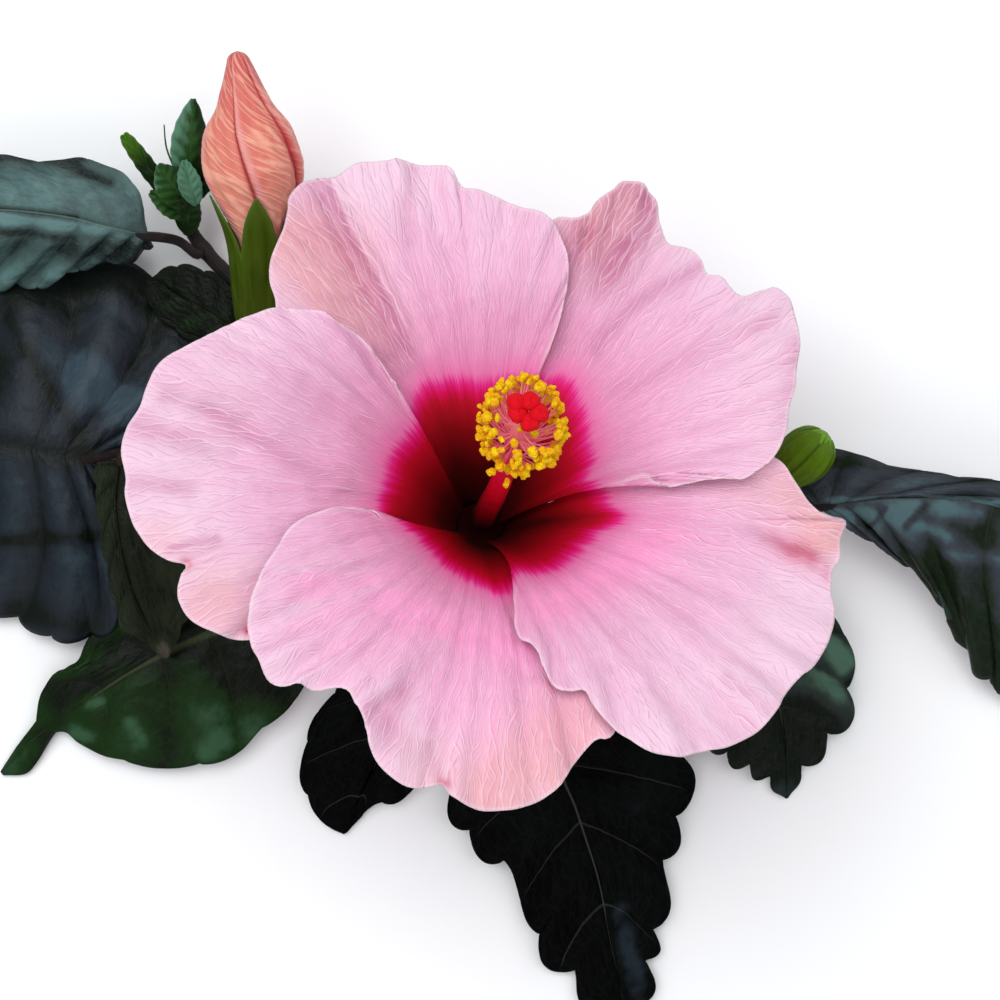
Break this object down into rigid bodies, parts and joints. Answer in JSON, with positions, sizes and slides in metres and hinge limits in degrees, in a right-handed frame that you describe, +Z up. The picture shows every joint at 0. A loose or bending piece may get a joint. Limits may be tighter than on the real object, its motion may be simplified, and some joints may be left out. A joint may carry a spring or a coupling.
{
  "type": "cut flowering hibiscus sprig",
  "caption": "Cut hibiscus sprig lying on its leaves: an open pink bloom facing up, buds and toothed leaves on thin woody stems.",
  "frame": {"origin": "bottom centre of the whole sprig's box, on the surface that its leaves lie on", "axes": "+Z up, the way the bloom faces; +X and +Y lie in the surface, +X from the large left leaf towards the right-hand leaf and +Y from the lowest leaf towards the coral bud"},
  "size_m": [0.2736, 0.2018, 0.0873],
  "materials": {
    "bark": "thin dark grey-brown bark with a fine lengthwise grain and small pale lenticels",
    "green_stem": "young dark green bark, smooth and slightly waxy, flushed with purple",
    "leaf": "glossy dark green leaf, quilted between its veins, with a blue-grey sheen",
    "brown_leaf": "young purple-brown leaf with a green cast and paler veins",
    "young_leaf": "soft bright green young leaf tissue",
    "petal": "thin crepe-textured pink petal with a crimson throat that feathers out through magenta, and peach at its margin",
    "anther": "powdery golden yellow anthers on thin pink filaments and a pink-red column",
    "stigma": "velvety bright red pads",
    "calyx": "matt olive green calyx with fine lengthwise ribs",
    "coral": "furled coral-red petals with fine paler veins that run round the bud"
  },
  "bodies": {
    "root": {"main_stem": "bark", "side_twig": "bark", "left_twig": "green_stem", "bud_stalk": "green_stem", "green_bud_stalk": "green_stem", "bloom_stalk": "green_stem", "leaf_upper_left": "leaf", "leaf_left": "leaf", "leaf_lower_left": "leaf", "leaf_under_bloom": "leaf", "leaf_bottom": "leaf", "leaf_lower_right": "leaf", "leaf_right": "leaf", "leaf_behind_bud": "leaf", "leaf_young": "brown_leaf", "shoot_tip": "young_leaf", "petal_upper_right": "petal", "petal_top": "petal", "petal_left": "petal", "petal_bottom": "petal", "petal_lower_right": "petal", "stamen_column": "anther", "stigma_head": "stigma", "bloom_calyx": "calyx", "bloom_epicalyx": "calyx", "bud_calyx": "calyx", "green_bud_calyx": "calyx", "green_bud_petals": "calyx", "bud_petals": "coral"}
  },
  "joints": []
}
